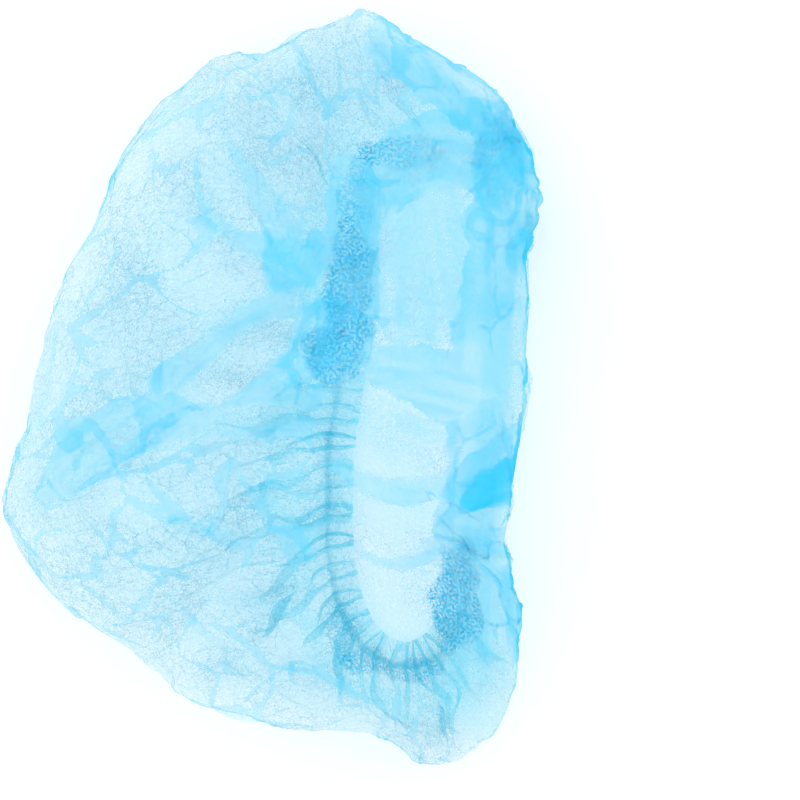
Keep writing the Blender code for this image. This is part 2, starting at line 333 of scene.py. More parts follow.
# Pleats, where the crown lies over itself: a curve through three places as shares of half the width and
# length, half its breadth at each of them, how many more times the cloth lies there, and which of the layers
# of pleats it is in
Pleat = namedtuple("Pleat", "from_x from_y via_x via_y to_x to_y start middle end folds layer")
PLEATS = (
    Pleat(-0.25, 0.62, -0.21, 0.44, 0.03, 0.36, 0.0014, 0.0032, 0.0062, 1.1, 1),
    Pleat(-0.15, 0.64, -0.04, 0.51, 0.11, 0.36, 0.0014, 0.0053, 0.0106, 0.9, 0),
    Pleat(-0.02, 0.36, 0.09, 0.33, 0.20, 0.28, 0.0048, 0.0149, 0.0115, 1.5, 0),
    Pleat(0.27, 0.74, 0.22, 0.53, 0.17, 0.34, 0.0029, 0.0062, 0.0100, 0.25, 1),
    Pleat(0.12, 0.24, -0.15, 0.14, -0.42, -0.02, 0.0091, 0.0048, 0.0082, 1.1, 0),
    Pleat(0.20, 0.24, 0.12, 0.07, -0.19, -0.06, 0.0096, 0.0096, 0.0034, 1.2, 1),
    Pleat(-0.86, -0.32, -0.60, -0.14, -0.27, -0.03, 0.0014, 0.0134, 0.0072, 0.9, 0),
    Pleat(-0.61, -0.20, -0.18, -0.08, 0.21, -0.08, 0.0038, 0.0096, 0.0163, 1.0, 1),
    Pleat(-0.84, -0.33, -0.70, -0.27, -0.54, -0.20, 0.0010, 0.0019, 0.0029, 0.8, 1),
    Pleat(-0.15, -0.19, -0.00, -0.30, 0.15, -0.46, 0.0010, 0.0043, 0.0067, 0.8, 0),
    Pleat(-0.36, -0.34, -0.23, -0.36, -0.08, -0.39, 0.0014, 0.0038, 0.0024, 0.7, 0),
    Pleat(-0.50, 0.12, -0.58, 0.16, -0.66, 0.10, 0.0005, 0.0010, 0.0010, 0.4, 0),
    Pleat(-0.77, 0.18, -0.83, -0.03, -0.96, -0.20, 0.0010, 0.0019, 0.0024, 0.5, 0),
    Pleat(-0.46, 0.63, -0.29, 0.76, -0.04, 0.87, 0.0014, 0.0034, 0.0019, 0.5, 0),
    Pleat(-0.15, 0.77, -0.17, 0.71, -0.14, 0.63, 0.0010, 0.0019, 0.0019, 0.4, 1),
    Pleat(-0.04, 0.82, 0.21, 0.74, 0.42, 0.85, 0.0010, 0.0014, 0.0029, 0.5, 1),
    Pleat(0.34, 0.93, 0.68, 0.83, 0.97, 0.62, 0.0130, 0.0235, 0.0180, 1.2, 0),
    Pleat(0.30, 0.61, 0.30, 0.37, 0.27, -0.01, 0.0077, 0.0144, 0.0144, 1.1, 0),
    Pleat(0.37, 0.46, 0.60, 0.61, 0.92, 0.50, 0.0110, 0.0165, 0.0150, 1.0, 1),
    Pleat(0.93, 0.60, 0.87, 0.14, 0.80, -0.80, 0.0200, 0.0260, 0.0240, 1.1, 0),
    Pleat(0.34, 0.05, 0.56, 0.03, 0.92, -0.04, 0.0090, 0.0135, 0.0270, 1.15, 0),
    Pleat(0.99, 0.63, 0.92, 0.58, 0.84, 0.51, 0.0144, 0.0106, 0.0038, 1.8, 1),
    Pleat(0.99, 0.39, 0.93, 0.35, 0.85, 0.34, 0.0077, 0.0096, 0.0029, 1.4, 1),
    Pleat(0.22, -0.18, 0.44, -0.26, 0.67, -0.24, 0.0048, 0.0053, 0.0067, 0.9, 1),
    Pleat(0.29, -0.39, 0.46, -0.45, 0.67, -0.40, 0.0014, 0.0024, 0.0038, 0.9, 0),
    Pleat(0.55, -0.42, 0.71, -0.39, 0.94, -0.42, 0.0024, 0.0058, 0.0067, 0.8, 1),
    Pleat(0.70, -0.31, 0.80, -0.26, 0.96, -0.22, 0.0030, 0.0088, 0.0090, 4.2, 1),
    Pleat(0.71, -0.26, 0.82, -0.24, 0.95, -0.17, 0.0010, 0.0030, 0.0026, 2.6, 2),
    Pleat(0.72, -0.32, 0.82, -0.29, 0.93, -0.30, 0.0010, 0.0030, 0.0034, 2.8, 2),
    Pleat(0.60, -0.36, 0.76, -0.24, 0.97, -0.16, 0.0024, 0.0110, 0.0160, 1.1, 2),
    Pleat(0.70, 0.72, 0.86, 0.67, 1.00, 0.55, 0.0050, 0.0125, 0.0120, 1.0, 2),
    Pleat(0.60, 0.30, 0.76, 0.21, 0.92, 0.24, 0.0010, 0.0040, 0.0060, 0.5, 2),
    Pleat(0.44, -0.05, 0.64, -0.12, 0.80, -0.05, 0.0020, 0.0060, 0.0030, 0.4, 2),
    Pleat(0.53, 0.52, 0.58, 0.30, 0.60, 0.10, 0.0280, 0.0290, 0.0220, 0.6, 2),
    Pleat(0.85, -0.46, 0.89, -0.56, 0.90, -0.70, 0.0048, 0.0058, 0.0038, 1.2, 1),
    Pleat(-0.27, -0.56, -0.04, -0.54, 0.17, -0.62, 0.0010, 0.0029, 0.0048, 0.5, 0),
    Pleat(-0.42, -0.46, -0.29, -0.59, -0.09, -0.70, 0.0010, 0.0024, 0.0019, 0.4, 1),
    Pleat(-0.04, -0.72, 0.21, -0.74, 0.47, -0.83, 0.0010, 0.0029, 0.0048, 0.5, 1),
)

# How the pleats' curves are stepped, how many may lie over each other, what a place outside all of them has,
# how far past its breadth a pleat is looked for, its height, and how its side slopes from outside its edge
PLEAT_STEPS = 24
PLEAT_LAYERS_APART = 3
NO_PLEAT = -0.01
PLEAT_MARGIN = 0.006
PLEAT_HEIGHT = 0.0012
PLEAT_SIDE = Ramp(-0.001, 0.0025)

# Their ragged edges, less ragged where a pleat is narrow, their faded ends, and the streaks along them
RAGGED_EDGE = Grain(0.0040, 0.013, 101)
FRAYED_EDGE = Grain(0.0020, 0.0055, 141)
BROAD_PLEAT = 0.015
LEAST_RAGGED = 0.10
PLEAT_STARTS = Ramp(-0.03, 0.12)
PLEAT_ENDS = Ramp(0.91, 0.12)
STREAKS = 0.45
STREAK_TURNS = 3.0
STREAK_BREADTH = 0.0032
STREAKS_APART = 7
STREAKS_ASIDE = 60

# Parts where the cloth is crushed together: middle and reach as shares of half the width and length, how much
# thicker it looks there, and how much more crinkled (negative where it is drawn smooth)
Patch = namedtuple("Patch", "x y reach_x reach_y pile crinkle")
PATCHES = (
    Patch(0.09, 0.33, 0.10, 0.07, 3.0, -0.3),
    Patch(0.30, 0.26, 0.08, 0.15, -0.5, 1.5),
    Patch(0.24, 0.08, 0.10, 0.06, 0.0, 1.6),
    Patch(0.33, 0.50, 0.07, 0.10, 0.3, 0.7),
    Patch(0.52, 0.60, 0.16, 0.04, 0.3, 0.9),
    Patch(0.83, 0.59, 0.10, 0.10, 1.4, 0.7),
    Patch(0.92, 0.39, 0.07, 0.06, 1.8, 0.3),
    Patch(0.68, -0.56, 0.08, 0.12, -0.5, 1.8),
    Patch(0.27, -0.63, 0.05, 0.07, 0.0, 1.2),
    Patch(0.36, -0.70, 0.08, 0.035, 0.1, 1.3),
    Patch(0.52, -0.72, 0.10, 0.030, 0.1, 1.3),
    Patch(0.45, -0.20, 0.17, 0.17, 0.9, -0.35),
    Patch(0.47, -0.53, 0.14, 0.13, 0.9, -0.35),
    Patch(0.78, -0.78, 0.15, 0.11, 1.3, -0.3),
    Patch(0.59, 0.33, 0.16, 0.19, 2.6, -0.3),
    Patch(0.42, -0.11, 0.13, 0.05, 0.8, -0.3),
    Patch(-0.10, -0.02, 0.16, 0.08, -0.9, 0.2),
)

# The crushed parts' edges: how far out and over what share of their reach they fade, and how ragged they are
PATCH_EDGE = Ramp(0.85, 0.5)
RAGGED_PATCH = (Grain(0.35, 0.012, 171), Grain(0.2, 0.005, 172))

# The floor, the light and the camera
LIGHT_FROM = (-0.5, 0.6, 1.0)
LIGHT_FADE = -0.2
DIM_SIDE = 0.88
BRIGHT_SIDE = 1.37
FLOOR_SIZE = 6.0
FLOOR_ROUGHNESS = 0.9
VIEW_WIDTH = 0.384
VIEW_MIDDLE_X = 0.061
VIEW_MIDDLE_Y = -0.0055
CAMERA_HEIGHT = 2.6
SENSOR_WIDTH = 36.0

# How many see-through surfaces light may pass, and how often it may bounce
CLEAR_BOUNCES = 64
BOUNCES = 12

# The cloth's see-through look: how much of what lies behind one thickness covers, and how soft it is in light
THIN_COVER = 0.155
CLOTH_ROUGHNESS = 0.72
CLOTH_SHINE = 0.25
CLOTH_SHEEN = 0.15
CLOTH_TRANSLUCENCY = 0.5

# Its patterns, and their sizes in metres. The real fibres are 0.02 mm thick and their bonds about 1 mm apart,
# which is too fine to show, so the fibre's clumps and the crushed cloth's specks are drawn as coarse as they
# need to be.
Pattern = namedtuple("Pattern", "size detail roughness")
FIBRE_CLUMPS = Pattern(0.001923, 2.0, 0.6)
SLOW_CHANGES = Pattern(0.0238, 1.0, 0.5)
SPECKLES = Pattern(0.0013158, 1.0, 0.5)
CRINKLE_SIZE = 0.0080
CRINKLE_WIDTH = 0.0007
CRINKLE_DRIFT = 0.0040
ROUGH_EDGE = 0.0006
CRISP_EDGE = 0.0003
SOFT_EDGE = 0.0034
BUMP_HEIGHT = 0.0006
BUMP_STRENGTH = 0.6

# How many thicknesses of cloth each pattern adds or stands for, and how high it lies beside the others
FIBRE_LAYERS = (0.55, 1.05)
FIBRE_BUMP = 0.3
CRINKLE_LAYERS = 1.5
CRINKLE_BUMP = 0.5
WORM_LAYERS = 2.5
SPECKLE_LAYERS = 8.5
SPECKLE_BETWEEN = 0.9
PLEAT_LAYERS = 2.4
PLEAT_CRINKLE = 0.2
CREASE_FOLDS = 0.85

# The part of each pattern over which it comes in, and how dark the painted shade in the crinkles and the
# specks is
FIBRE_RANGE = (0.3, 0.7)
WORM_WIDTH = 0.05
SLOW_RANGE = (0.42, 0.62)
CREASE_RANGE = (-0.0003, 0.0005)
SPECKLE_RANGE = (0.50, 0.56)
CRUSHED_RANGE = (1.1, 2.3)
CRINKLE_RANGE = (0.3, 2.5)
DENSE_RANGE = (2.0, 6.0)
THIN_RANGE = (4.5, 8.0)
CRINKLE_SHADE = 0.55
SPECKLE_SHADE = 0.4

# The elastic's cover and the thread: the pitch of their windings in metres, and how they take light
COVER_PITCH = 0.0006
COVER_ROUGHNESS = 0.6
THREAD_PITCH = 0.0002
THREAD_ROUGHNESS = 0.5
WINDING_DETAIL = 3.0
WINDING_RANGE = (0.3, 0.7)
WINDING_HEIGHT = 0.0002
WINDING_BUMP = 0.5
# Painted shade: the share of the yarn's colour left between its windings
HOLLOW_SHADE = 0.8
YARN_TRANSLUCENCY = 0.45
YARN_OPENNESS = 0.9

# The elastic's and the stitches' shapes
POINTS_EACH = 12
STITCHES_PER_RIB = 3
BEADING = 0.10
ELASTIC_SIDES = 12
STITCH_GAP = 0.00035
STITCH_BREADTH = 1.25
STITCH_RISE = 0.0001
LOWEST_THREAD = 0.00016
THREAD_RADIUS = 0.00014
THREAD_SIDES = 6

# How far apart the nodes of a material lie
NODE_SPACING = 180

# Colours
COLOURS = {
    "thin cloth": "7ae1f6",
    "dense cloth": "2ed7ff",
    # painted light, which makes the gathers brighter to lift their shade
    "gathers painted light": "68eeff",
    # painted shade in the crinkles
    "crinkle": "4aa9c4",
    "shadowed cloth": "26a6da",
    "elastic cover": "eef6f8",
    "sewing thread": "e4f4fa",
    "floor": "fbfcfc",
    "light": "ffffff",
}


def linear(name):
    """The named colour, turned from its screen values to linear light."""
    code = COLOURS[name]
    channels = [int(code[k:k + 2], 16) / 255 for k in (0, 2, 4)]
    return [c / 12.92 if c <= 0.04045 else ((c + 0.055) / 1.055) ** 2.4 for c in channels] + [1.0]


def smooth_step(t):
    t = np.clip(t, 0.0, 1.0)
    return t * t * (3.0 - 2.0 * t)


def rising(x, ramp):
    return smooth_step((x - ramp.start) / ramp.breadth)


def falling(x, ramp):
    return smooth_step((ramp.start + ramp.breadth - x) / ramp.breadth)


def close_to(distance, reach):
    """1 at no distance, and fading away round the reach."""
    return np.exp(-(distance / reach)**2)


def shares_of_size(points):
    """Places seen from above, as shares of half the cap's width and length."""
    return points[..., 0] / (CAP_WIDTH / 2), points[..., 1] / (CAP_LENGTH / 2)


def unit(vectors):
    return vectors / np.maximum(np.linalg.norm(vectors, axis=-1, keepdims=True), TINY)


def noise_corners(x, y, seed):
    """The cell that each place is in, and a function for the random value at a corner of it."""
    table = np.random.default_rng(seed).uniform(-1.0, 1.0, (NOISE_CELLS, NOISE_CELLS))
    cell_x = np.floor(x).astype(int)
    cell_y = np.floor(y).astype(int)

    def corner(step_x, step_y):
        return table[(cell_x + step_x) % NOISE_CELLS, (cell_y + step_y) % NOISE_CELLS]

    return cell_x, cell_y, corner


def soft_noise(x, y, seed):
    """Smooth noise from -1 to 1 with one cell to each unit of x and y."""
    cell_x, cell_y, corner = noise_corners(x, y, seed)
    share_x = smooth_step(x - cell_x)
    share_y = smooth_step(y - cell_y)
    near = corner(0, 0) * (1 - share_x) + corner(1, 0) * share_x
    far = corner(0, 1) * (1 - share_x) + corner(1, 1) * share_x
    return near * (1 - share_y) + far * share_y


def noise(place, *grains):
    """Smooth noise over places in metres, all these grains together."""
    return sum(grain.strength * soft_noise(place[0] / grain.size, place[1] / grain.size, grain.seed)
               for grain in grains)


def pushed_about(place, grain):
    """Places moved in x and y, by noise that is another for each of them."""
    return [place[axis] + noise(place, grain._replace(seed=grain.seed + axis)) for axis in (0, 1)]


def facet_noise(x, y, seed):
    """Flat triangles that meet in sharp creases, from -1 to 1, as crumpled cloth has."""
    skewed = y / math.sin(math.pi / 3)
    slanted = x - 0.5 * skewed
    cell_x, cell_y, corner = noise_corners(slanted, skewed, seed)
    share_x = slanted - cell_x
    share_y = skewed - cell_y
    lower = corner(0, 0) * (1 - share_x - share_y) + corner(1, 0) * share_x + corner(0, 1) * share_y
    upper = corner(0, 1) * (1 - share_x) + corner(1, 0) * (1 - share_y)
    upper += corner(1, 1) * (share_x + share_y - 1)
    return np.where(share_x + share_y < 1.0, lower, upper)


def crease_distance(x, y, seed):
    """How far each place is from the nearest edge between scattered cells, one to each unit of x and y."""
    table = np.random.default_rng(seed).uniform(*SCATTER, (SCATTERED_CELLS, SCATTERED_CELLS, 2))
    cell_x = np.floor(x).astype(int)
    cell_y = np.floor(y).astype(int)
    middles = []
    for step_x in range(-2, 3):
        for step_y in range(-2, 3):
            jitter = table[(cell_x + step_x) % SCATTERED_CELLS, (cell_y + step_y) % SCATTERED_CELLS]
            middle_x = cell_x + step_x + jitter[..., 0] - x
            middle_y = cell_y + step_y + jitter[..., 1] - y
            middles.append(np.stack([middle_x, middle_y], -1))
    middles = np.stack(middles)
    away = np.hypot(middles[..., 0], middles[..., 1])
    nearest = away.argmin(0)
    own = np.take_along_axis(middles, nearest[None, ..., None], 0)[0]
    between = middles - own
    gap = np.hypot(between[..., 0], between[..., 1])
    to_edge = ((middles + own) / 2 * between).sum(-1) / np.maximum(gap, TINY)
    return np.where(gap > TINY, to_edge, np.inf).min(0)


def sections_at(turns):
    """The section at each share of the way round, on a smooth curve through the rows."""
    rows = np.array(SECTIONS)
    where = (turns % 1.0) * len(rows)
    first = where.astype(int)
    t = (where - first)[:, None]
    before, start, end, after = (rows[(first + k) % len(rows)] for k in (-1, 0, 1, 2))
    leaving = (end - before) / 2.0
    arriving = (after - start) / 2.0
    blended = (
        start * (2 * t**3 - 3 * t**2 + 1)
        + leaving * (t**3 - 2 * t**2 + t)
        + end * (3 * t**2 - 2 * t**3)
        + arriving * (t**3 - t**2)
    )
    return Section(*blended.T)


def relief(x, y):
    """What the big folds and dents add to the crown's height at each place, seen from above."""
    height = np.zeros_like(x)
    for fold in FOLDS:
        start = np.array([fold.from_x * CAP_WIDTH / 2, fold.from_y * CAP_LENGTH / 2])
        line = np.array([fold.to_x * CAP_WIDTH / 2, fold.to_y * CAP_LENGTH / 2]) - start
        length = np.hypot(*line)
        along = ((x - start[0]) * line[0] + (y - start[1]) * line[1]) / length**2
        across = (line[0] * (y - start[1]) - line[1] * (x - start[0])) / length / (fold.spread * CAP_WIDTH)
        fade = smooth_step(1.0 + along / FOLD_FADE) * smooth_step(1.0 + (1.0 - along) / FOLD_FADE)
        height += fold.depth * FOLD_DEPTH * fade * across * np.exp(0.5 - across**2)
    for dent in DENTS:
        away = np.hypot(x - dent.x * CAP_WIDTH / 2, y - dent.y * CAP_LENGTH / 2) / (dent.spread * CAP_WIDTH)
        height -= dent.depth * DENT_DEPTH * np.exp(-(away**2))
    return height


def elastic_line(turns):
    """The line of the elastic seen from above, and how far it is lifted off the table."""
    row = sections_at(turns)
    middle_x = CAP_WIDTH / 2 - OPENING_INSET - OPENING_WIDTH / 2
    x = middle_x + row.rim_x * OPENING_WIDTH / 2
    y = row.rim_y * OPENING_LENGTH / 2 - OPENING_SHIFT
    return np.stack([x, y, np.zeros_like(x)], -1), np.maximum(row.lift, 0.0) * RIM_LIFT


def sheet_paths():
    """For every turn, points from the frill's raw edge over the elastic and the widest line to the apex."""
    turns = np.arange(TURN_STEPS) / TURN_STEPS
    row = sections_at(turns)
    rim, lift = elastic_line(turns)
    edge = np.stack([row.edge_x * CAP_WIDTH / 2, row.edge_y * CAP_LENGTH / 2, row.rise * WIDEST_HEIGHT], -1)
    apex = np.array([APEX_X * CAP_WIDTH / 2, APEX_Y * CAP_LENGTH / 2, CROWN_HEIGHT])
    over_elastic = ELASTIC_DIAMETER + SEWN_GAP + lift
    step = TURN_STEPS // (2 * RIB_COUNT)
    along = np.roll(rim, -step, 0) - np.roll(rim, step, 0)
    inward = unit(np.stack([along[:, 1], -along[:, 0], np.zeros(TURN_STEPS)], -1))
    points = []
    for t in np.linspace(1.0, 0.0, FRILL_STEPS + 1)[:-1]:
        point = rim + inward * FRILL_WIDTH * t
        point[:, 2] = over_elastic * (1.0 - FRILL_DROP * t)
        points.append(point)
    span = np.hypot(*(edge - rim)[:, :2].T)
    for t in np.linspace(0.0, 1.0, UNDER_STEPS + 1)[:-1]:
        out = math.sin(t * math.pi / 2)
        point = rim + (edge - rim) * out
        still_raised = smooth_step(1.0 - out * span / SETTLE_WIDTH)
        curled_up = 1.0 - math.sqrt(max(1.0 - out**UNDERSIDE_FLATNESS, 0.0))
        point[:, 2] = (over_elastic + PRESSED_DEPTH) * still_raised * (1.0 - curled_up)
        point[:, 2] += (edge[:, 2] + PRESSED_DEPTH) * curled_up - PRESSED_DEPTH
        points.append(point)
    for t in np.linspace(0.0, 1.0, CROWN_STEPS + 1):
        left = math.cos(t * math.pi / 2)
        point = edge + (apex - edge) * (1.0 - left)
        risen = (1.0 - left**CROWN_FULLNESS) ** (1.0 / CROWN_FULLNESS)
        point[:, 2] = edge[:, 2] + (apex[2] - edge[:, 2]) * risen
        point[:, 2] += relief(point[:, 0], point[:, 1]) * smooth_step(t / RELIEF_START)
        points.append(point)
    return np.stack(points, 1)


class Lattice:
    """The sheet before it is gathered, at every turn and at even steps in from the raw edge."""

    def __init__(self):
        paths = sheet_paths()
        steps = np.linalg.norm(np.diff(paths, axis=1), axis=2)
        travelled = np.concatenate([np.zeros((TURN_STEPS, 1)), np.cumsum(steps, 1)], 1)
        self.radius = travelled[:, -1]
        shares = np.linspace(0.0, 1.0, LEVEL_STEPS)
        self.points = np.empty((TURN_STEPS, LEVEL_STEPS, 3))
        for k in range(TURN_STEPS):
            for axis in range(3):
                self.points[k, :, axis] = np.interp(shares * self.radius[k], travelled[k], paths[k, :, axis])
        self.shares = shares
        along = shares * self.radius[:, None]
        self.from_elastic = along - travelled[:, FRILL_STEPS, None]
        self.past_widest = along - travelled[:, FRILL_STEPS + UNDER_STEPS, None]


def wave_shape(phase):
    """The slope of a rib's section: level between the ribs, steep on both of its sides."""
    return np.sin(2 * math.pi * phase) * (1.0 - np.cos(2 * math.pi * phase)) / RIB_STEEPEST


def plain_shape(phase):
    return np.sin(2 * math.pi * phase)


def steepness_for(surplus, shape):
    """How steep a wave has to be to hold this many times the straight cloth."""
    phases = (np.arange(PHASES) + 0.5) / PHASES
    steepness = np.linspace(0.0, STEEPEST_WAVE, STEEPNESS_STEPS)
    held = np.array([np.cos(value * shape(phases)).mean() for value in steepness])
    held = np.minimum.accumulate(held)
    return np.interp(-1.0 / surplus, -held, steepness)


def surplus_left(lattice, cloth_over_room, on_crown, crushed_flat):
    """How many times the straight cloth the gathers hold at each place."""
    surplus = np.clip(cloth_over_room, 1.0, MOST_SURPLUS)
    kept = falling(lattice.shares, TO_APEX)
    for where, share in (
        (on_crown, CROWN_SURPLUS),
        (close_to(lattice.past_widest, WIDEST_REACH), WIDEST_SURPLUS),
        (rising(lattice.from_elastic, FAR_OUT), FAR_SURPLUS),
        (crushed_flat, FLAT_SURPLUS),
    ):
        kept = kept * (1.0 - (1.0 - share) * where)
    return 1.0 + (surplus - 1.0) * kept


def rib_waves(turns, out, surplus):
    """The slope of the gathers' waves at each place, and where the ribs beside the elastic are."""
    angle = 2 * math.pi * turns
    spacing = RIB_SPACING + RIB_WIDENING * np.maximum(np.abs(out) - RIB_RUN, 0.0)
    octave = np.log2(spacing / RIB_SPACING)
    slope = np.zeros_like(surplus)
    rib = np.zeros_like(surplus)
    for k in range(RIB_SIZES):
        weight = np.clip(1.0 - np.abs(octave - k), 0.0, 1.0)
        # Each size strays by itself
        x = STRAY_TURNS * np.cos(angle) + STRAY_APART * k
        y = STRAY_TURNS * np.sin(angle) + out / (STRAY_LENGTH * 2**k)
        stray = STRAY * soft_noise(x, y, STRAY_SEED + k)
        stray += SLOW_STRAY * soft_noise(x / SLOWER, y / SLOWER, SLOW_STRAY_SEED + k)
        phase = turns * (RIB_COUNT >> k) + stray * rising(np.abs(out) + STRAY_SOONER * k, STRAY_STARTS)
        shape = wave_shape if k == 0 else plain_shape
        uneven = 1.0 + UNEVEN_RIBS * soft_noise(x * 2 + UNEVEN_SHIFT, y + UNEVEN_ASIDE, UNEVEN_SEED + k)
        slope += steepness_for(surplus**weight, shape) * shape(phase) * uneven
        if k == 0:
            rib = falling(np.abs(phase % 1.0 - 0.5), RIB_EDGE) * weight * rising(surplus, RIB_SHOWS)
    return slope, rib


def gathered(lattice):
    """The sheet's points with its surplus cloth standing in ribs and waves."""
    points = lattice.points
    around = np.roll(points, -SIDE_REACH, 0) - np.roll(points, SIDE_REACH, 0)
    around = around / (2 * SIDE_REACH / TURN_STEPS)
    inward = np.gradient(points, axis=1)
    share = (around * inward).sum(-1, keepdims=True) / np.maximum((inward**2).sum(-1, keepdims=True), TINY)
    straight_round = around - inward * share
    room = np.linalg.norm(straight_round, axis=-1)
    side = unit(straight_round)
    normal = unit(np.cross(inward, around))

    turns = np.arange(TURN_STEPS)[:, None] / TURN_STEPS
    out = lattice.from_elastic
    on_crown = rising(lattice.past_widest, TURNS_OVER)
    crushed_flat = 1.0 - rising(turns, CLEAR_STARTS) * falling(turns, CLEAR_ENDS)
    cloth = 2 * math.pi * (1.0 - lattice.shares) * lattice.radius[:, None]
    surplus = surplus_left(lattice, cloth / np.maximum(room, TINY), on_crown, crushed_flat)
    slope, rib = rib_waves(turns, out, surplus)

    length = surplus * room / TURN_STEPS
    sideways = summed_round(np.cos(slope) * length)
    height = summed_round(np.sin(slope) * length)
    angle = 2 * math.pi * turns
    across = LEAN_TURNS * (np.cos(angle) + 1.0)
    outwards = LEAN_TURNS * np.sin(angle) + out / LEAN_LENGTH
    lean = FULL_LEAN * np.clip(LEAN_FLIP * soft_noise(across, outwards, LEAN_SEED), -1.0, 1.0)
    lean *= FIRST_LEAN + (1.0 - FIRST_LEAN) * rising(out, LEANS_OVER)
    lean *= (1.0 - LEAN_LOST * on_crown) * (1.0 - LEAN_LOST * crushed_flat)
    at_peak = close_to(np.minimum(turns, 1.0 - turns), PEAK_REACH)
    calm = CALM + np.maximum(CALM_CRUSHED * crushed_flat, CALM_PEAK * at_peak)
    moving = 1.0 - calm * close_to(lattice.past_widest, CALM_REACH)
    sideways = (sideways + height * np.sin(lean)) * moving
    height = height * np.cos(lean) * moving
    # Ribs stand up into the hollow from the table, and both ways from the crown
    height = height - rolling_least(height) * (1.0 - on_crown)
    return points + side * sideways[..., None] - normal * height[..., None], rib, normal


def summed_round(steps):
    """The steps summed on the way round the cap, closed to a loop and without their slowest waves."""
    sums = np.cumsum(steps - steps.mean(0, keepdims=True), 0)
    spectrum = np.fft.rfft(sums, axis=0)
    spectrum[:SLOWEST_WAVES] = 0.0
    return np.fft.irfft(spectrum, TURN_STEPS, axis=0)


def rolling_least(wave):
    """The least of the wave near each place on the way round, smoothed."""
    least = wave.copy()
    for shift in range(-FOOT_REACH, FOOT_REACH + 1, FOOT_STEP):
        least = np.minimum(least, np.roll(wave, shift, 0))
    spectrum = np.fft.rfft(least, axis=0)
    spectrum[FOOT_WAVES:] = 0.0
    return np.fft.irfft(spectrum, TURN_STEPS, axis=0)


def flat_grid():
    """The flat sheet's grid: how far out from the middle each point is, and in which direction."""
    side = np.linspace(-1.0, 1.0, SHEET_CELLS + 1)
    a, b = np.meshgrid(side, side, indexing="ij")
    wide = np.abs(a) > np.abs(b)
    safe_a = np.where(a == 0, 1.0, a)
    safe_b = np.where(b == 0, 1.0, b)
    reach = np.where(wide, a, b)
    angle = np.where(wide, math.pi / 4 * b / safe_a, math.pi / 2 - math.pi / 4 * a / safe_b)
    angle = np.where((a == 0) & (b == 0), 0.0, angle)
    x = reach * np.cos(angle)
    y = reach * np.sin(angle)
    return np.hypot(x, y), np.arctan2(y, x)


def sample(values, turns, levels):
    """Values of a lattice between its points."""
    where = (turns % 1.0) * TURN_STEPS
    first = np.floor(where).astype(int)
    share = where - first
    first %= TURN_STEPS
    second = (first + 1) % TURN_STEPS
    depth = np.clip(levels, 0.0, 1.0) * (LEVEL_STEPS - 1)
    upper = np.minimum(np.floor(depth).astype(int), LEVEL_STEPS - 2)
    deep = depth - upper
    if values.ndim == 3:
        share = share[..., None]
        deep = deep[..., None]
    near = values[first, upper] * (1 - deep) + values[first, upper + 1] * deep
    far = values[second, upper] * (1 - deep) + values[second, upper + 1] * deep
    return near * (1 - share) + far * share


def pleat_curve(pleat):
    """The pleat's middle line as points on a curve through its three places."""
    half_size = np.array([CAP_WIDTH / 2, CAP_LENGTH / 2])
    start = np.array([pleat.from_x, pleat.from_y]) * half_size
    end = np.array([pleat.to_x, pleat.to_y]) * half_size
    pull = 2 * np.array([pleat.via_x, pleat.via_y]) * half_size - (start + end) / 2
    t = np.linspace(0.0, 1.0, PLEAT_STEPS + 1)[:, None]
    return start * (1 - t)**2 + pull * 2 * t * (1 - t) + end * t**2


def beside_curve(x, y, curve):
    """For each place: its distance from the curve, how far along the curve it is, and how far to one side."""
    nearest = np.full(len(x), np.inf)
    along = np.zeros(len(x))
    aside = np.zeros(len(x))
    for k, (start, end) in enumerate(zip(curve[:-1], curve[1:])):
        line = end - start
        off_x = x - start[0]
        off_y = y - start[1]
        share = np.clip((off_x * line[0] + off_y * line[1]) / (line @ line), 0.0, 1.0)
        away = np.hypot(off_x - share * line[0], off_y - share * line[1])
        closer = away < nearest
        nearest = np.where(closer, away, nearest)
        along = np.where(closer, (k + share) / PLEAT_STEPS, along)
        aside = np.where(closer, (line[0] * off_y - line[1] * off_x) / np.hypot(*line), aside)
    return nearest, along, aside


def pleated(points, on_crown):
    """How far inside a pleat each place of the crown is, and how deep it is, for each layer of pleats."""
    inside = np.full(points.shape[:2] + (PLEAT_LAYERS_APART,), NO_PLEAT)
    depth = np.zeros(points.shape[:2] + (PLEAT_LAYERS_APART,))
    for number, pleat in enumerate(PLEATS):
        curve = pleat_curve(pleat)
        most = max(pleat.start, pleat.middle, pleat.end) + PLEAT_MARGIN
        near = on_crown & (points[..., :2] > curve.min(0) - most).all(-1)
        near &= (points[..., :2] < curve.max(0) + most).all(-1)
        x, y = points[near][:, :2].T
        away, along, aside = beside_curve(x, y, curve)
        breadth = pleat.start * (1 - along)**2 + pleat.end * along**2
        breadth += (4 * pleat.middle - pleat.start - pleat.end) * along * (1 - along)
        ragged = noise((x, y), RAGGED_EDGE._replace(seed=RAGGED_EDGE.seed + number), FRAYED_EDGE)
        within = breadth - away + ragged * np.clip(breadth / BROAD_PLEAT, LEAST_RAGGED, 1.0)
        lengthwise = along * STREAK_TURNS + STREAKS_APART * number
        sideways = aside / STREAK_BREADTH + STREAKS_ASIDE
        ends = rising(along, PLEAT_STARTS) * falling(along, PLEAT_ENDS)
        ends *= 1.0 + STREAKS * soft_noise(lengthwise, sideways, STREAK_SEED)
        best = inside[near, pleat.layer]
        deepest = within > best
        inside[near, pleat.layer] = np.where(deepest, within, best)
        depth[near, pleat.layer] = np.where(deepest, pleat.folds * ends, depth[near, pleat.layer])
    return inside, depth


